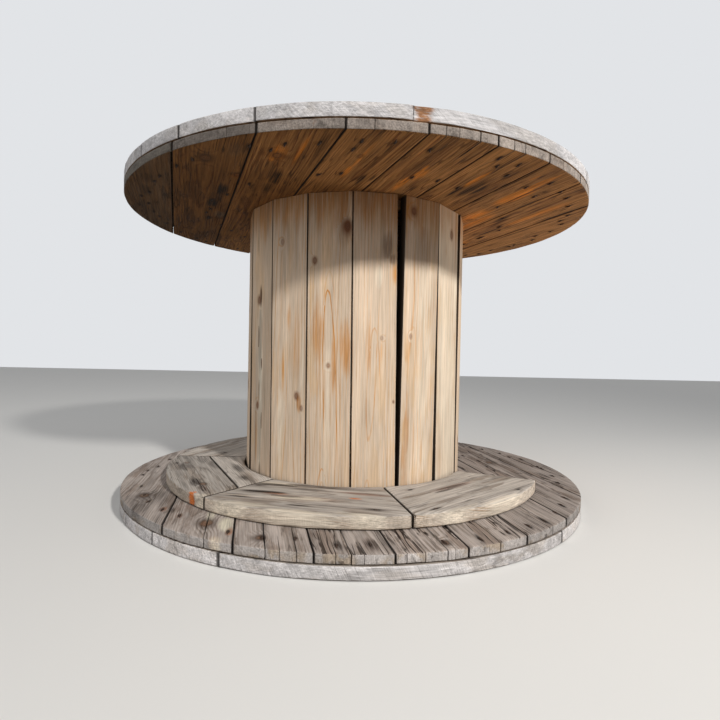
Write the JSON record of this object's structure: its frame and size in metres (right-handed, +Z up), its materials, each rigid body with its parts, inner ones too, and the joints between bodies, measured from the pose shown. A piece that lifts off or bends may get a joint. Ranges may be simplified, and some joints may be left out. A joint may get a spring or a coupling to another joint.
{
  "type": "wooden cable drum",
  "caption": "Wooden cable drum: two round flanges of crossed pine boards, a barrel of bevelled staves with a ring at its foot, and a central arbor bore.",
  "frame": {"origin": "centre of the lower flange's outer face, which is the face the drum stands on", "axes": "+Z up along the arbor bore, from the lower flange to the upper one; -Y is the side seen in the picture, with the open stave seam towards +X"},
  "size_m": [1, 1, 0.657],
  "materials": {
    "flange_boards": "rough sawn, weathered grey-brown",
    "staves": "planed pine, sun-warmed tan",
    "ring_boards": "weathered grey top, tan sawn edge",
    "former_boards": "rough sawn, unweathered",
    "zinced_steel": "dull zinc with rust"
  },
  "bodies": {
    "root": {"barrel_formers": "former_boards", "barrel_ring": "ring_boards", "lower_inner_board_01": "flange_boards", "lower_inner_board_02": "flange_boards", "lower_inner_board_03": "flange_boards", "lower_inner_board_04": "flange_boards", "lower_inner_board_05": "flange_boards", "lower_inner_board_06": "flange_boards", "lower_inner_board_07": "flange_boards", "lower_inner_board_08": "flange_boards", "lower_inner_board_09": "flange_boards", "lower_outer_board_01": "flange_boards", "lower_outer_board_02": "flange_boards", "lower_outer_board_03": "flange_boards", "lower_outer_board_04": "flange_boards", "lower_outer_board_05": "flange_boards", "lower_outer_board_06": "flange_boards", "lower_outer_board_07": "flange_boards", "lower_outer_board_08": "flange_boards", "lower_outer_board_09": "flange_boards", "lower_outer_board_10": "flange_boards", "plate_washers": "zinced_steel", "rod_nuts": "zinced_steel", "stave_01": "staves", "stave_02": "staves", "stave_03": "staves", "stave_04": "staves", "stave_05": "staves", "stave_06": "staves", "stave_07": "staves", "stave_08": "staves", "stave_09": "staves", "stave_10": "staves", "stave_11": "staves", "stave_12": "staves", "stave_13": "staves", "stave_14": "staves", "stave_15": "staves", "stave_16": "staves", "stave_17": "staves", "tie_rods": "zinced_steel", "upper_inner_board_01": "flange_boards", "upper_inner_board_02": "flange_boards", "upper_inner_board_03": "flange_boards", "upper_inner_board_04": "flange_boards", "upper_inner_board_05": "flange_boards", "upper_inner_board_06": "flange_boards", "upper_inner_board_07": "flange_boards", "upper_inner_board_08": "flange_boards", "upper_inner_board_09": "flange_boards", "upper_outer_board_01": "flange_boards", "upper_outer_board_02": "flange_boards", "upper_outer_board_03": "flange_boards", "upper_outer_board_04": "flange_boards", "upper_outer_board_05": "flange_boards", "upper_outer_board_06": "flange_boards", "upper_outer_board_07": "flange_boards", "upper_outer_board_08": "flange_boards", "upper_outer_board_09": "flange_boards", "upper_outer_board_10": "flange_boards"}
  },
  "joints": []
}
